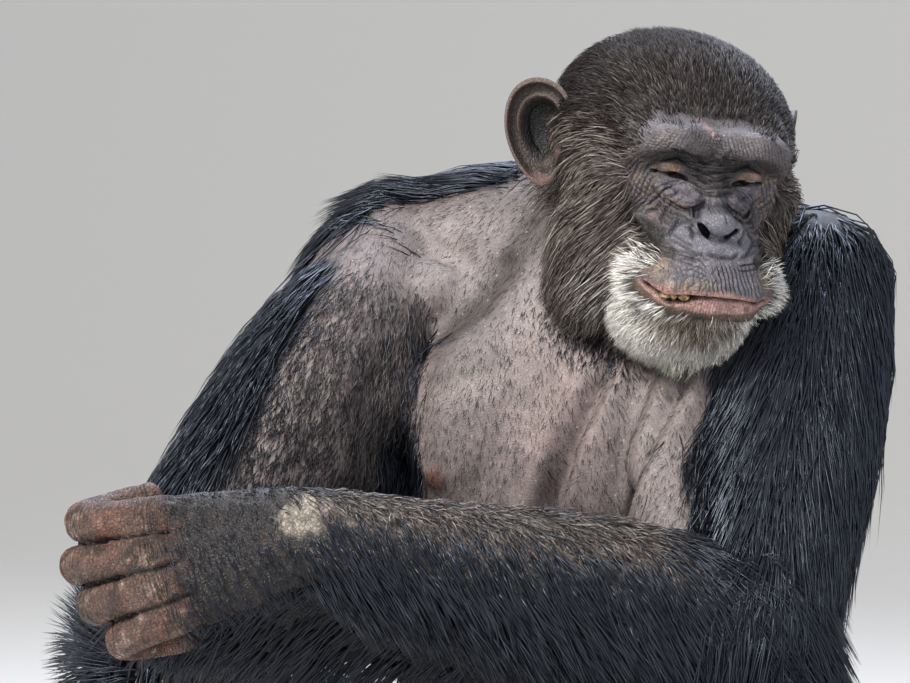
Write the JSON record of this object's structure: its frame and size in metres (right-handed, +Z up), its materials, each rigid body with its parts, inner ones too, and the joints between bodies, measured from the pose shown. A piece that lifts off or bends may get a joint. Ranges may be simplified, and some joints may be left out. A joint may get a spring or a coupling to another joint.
{
  "type": "chimpanzee",
  "caption": "Life-size sitting adult chimpanzee as a still museum model: knees drawn up, forearms crossed over them, head turned aside, long dark coat, bare chest and face, white beard.",
  "frame": {"origin": "middle of the flat that the seat rests on, on the ground", "axes": "+Z up; the trunk faces -Y; +X is the animal's own left side; the head is turned towards +X"},
  "size_m": [0.5798, 0.6936, 0.6962],
  "materials": {
    "coat": "long glossy black hair",
    "skin": "matte wrinkled grey-brown skin with fine hair",
    "face": "matte dark wrinkled skin, white hair round the chin",
    "palm": "bare reddish-brown creased skin of hands and feet",
    "eye": "wet dark brown eye",
    "tooth": "worn yellowish tooth enamel"
  },
  "bodies": {
    "root": {"chest": "skin", "pelvis": "coat", "head": "face", "neck": "skin", "thigh_left": "coat", "thigh_right": "coat", "shin_left": "coat", "shin_right": "coat", "foot_left": "palm", "foot_right": "palm", "upper_arm_left": "coat", "upper_arm_right": "coat", "forearm_left": "coat", "forearm_right": "coat", "hand_left": "palm", "hand_right": "palm", "ear_left": "face", "ear_right": "face", "eye_left": "eye", "eye_right": "eye", "teeth": "tooth"}
  },
  "joints": []
}
